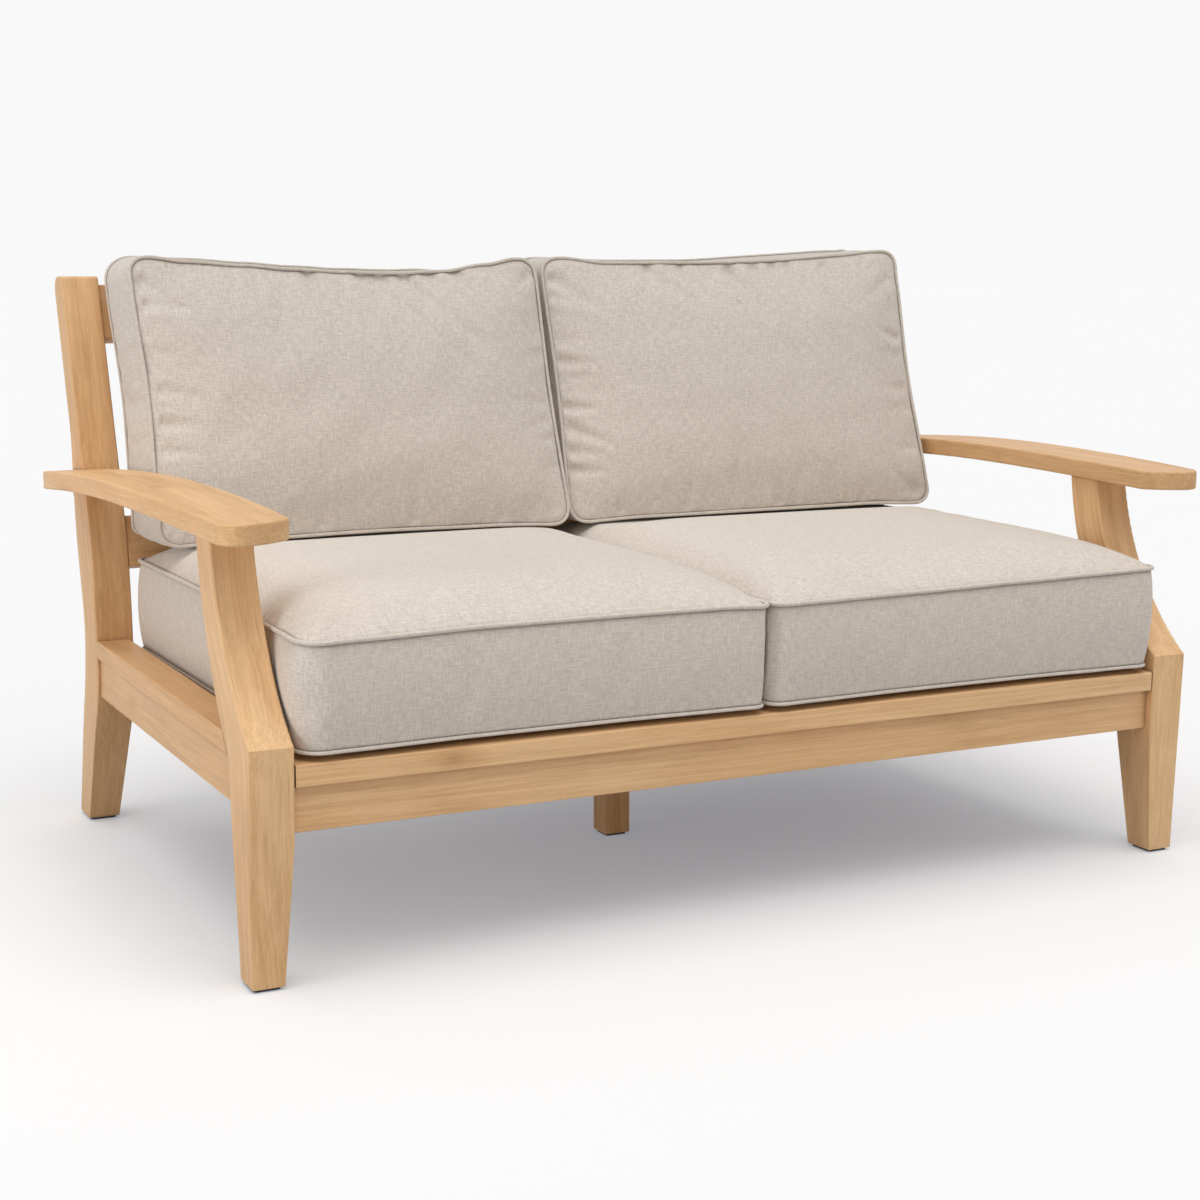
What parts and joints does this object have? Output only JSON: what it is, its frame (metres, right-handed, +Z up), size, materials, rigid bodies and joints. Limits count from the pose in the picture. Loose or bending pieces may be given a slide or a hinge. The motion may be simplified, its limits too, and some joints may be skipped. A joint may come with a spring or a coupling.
{
  "type": "patio loveseat",
  "caption": "Low two-seat garden sofa of light hardwood with bowed arms, raked slatted back and four loose boxed cushions.",
  "frame": {"origin": "on the ground under the centre of the outline", "axes": "+X across the seat to the right side seen from the front, +Y from the front to the back, +Z up"},
  "size_m": [1.59, 1.01, 0.905],
  "materials": {
    "teak": "satin",
    "fabric": "matte",
    "glide_plastic": "matte",
    "steel": "satin"
  },
  "bodies": {
    "frame": {"arm_bracket_left": "steel", "arm_bracket_right": "steel", "arm_dowels": "teak", "arm_left": "teak", "arm_right": "teak", "arm_screws": "steel", "back_slat_1": "teak", "back_slat_10": "teak", "back_slat_2": "teak", "back_slat_3": "teak", "back_slat_4": "teak", "back_slat_5": "teak", "back_slat_6": "teak", "back_slat_7": "teak", "back_slat_8": "teak", "back_slat_9": "teak", "bracket_screws": "steel", "centre_beam": "teak", "corner_bolts": "steel", "foot_glides": "glide_plastic", "front_apron": "teak", "front_cap": "teak", "front_corner_block_left": "teak", "front_corner_block_right": "teak", "front_leg_left": "teak", "front_leg_right": "teak", "low_back_rail": "teak", "middle_leg": "teak", "rear_apron": "teak", "rear_corner_block_left": "teak", "rear_corner_block_right": "teak", "rear_post_left": "teak", "rear_post_right": "teak", "seat_slat_1": "teak", "seat_slat_2": "teak", "seat_slat_3": "teak", "seat_slat_4": "teak", "seat_slat_5": "teak", "seat_slat_6": "teak", "seat_slat_7": "teak", "seat_slat_8": "teak", "seat_slat_9": "teak", "side_cap_left": "teak", "side_cap_right": "teak", "side_rail_left": "teak", "side_rail_right": "teak", "slat_ledger_left": "teak", "slat_ledger_right": "teak", "slat_screws": "steel", "top_back_rail": "teak"},
    "seat_cushion_left": {"seat_cushion_left": "fabric"},
    "seat_cushion_right": {"seat_cushion_right": "fabric"},
    "back_cushion_left": {"back_cushion_left": "fabric"},
    "back_cushion_right": {"back_cushion_right": "fabric"}
  },
  "joints": [
    {"name": "seat_cushion_left_pull_out", "type": "slide", "parent": "frame", "child": "seat_cushion_left", "axis": [0, -1, 0], "range_m": [0, 0.85]},
    {"name": "seat_cushion_right_pull_out", "type": "slide", "parent": "frame", "child": "seat_cushion_right", "axis": [0, -1, 0], "range_m": [0, 0.85]},
    {"name": "back_cushion_left_lift_out", "type": "slide", "parent": "frame", "child": "back_cushion_left", "axis": [0, 0, 1], "range_m": [0, 0.43]},
    {"name": "back_cushion_right_lift_out", "type": "slide", "parent": "frame", "child": "back_cushion_right", "axis": [0, 0, 1], "range_m": [0, 0.43]}
  ]
}
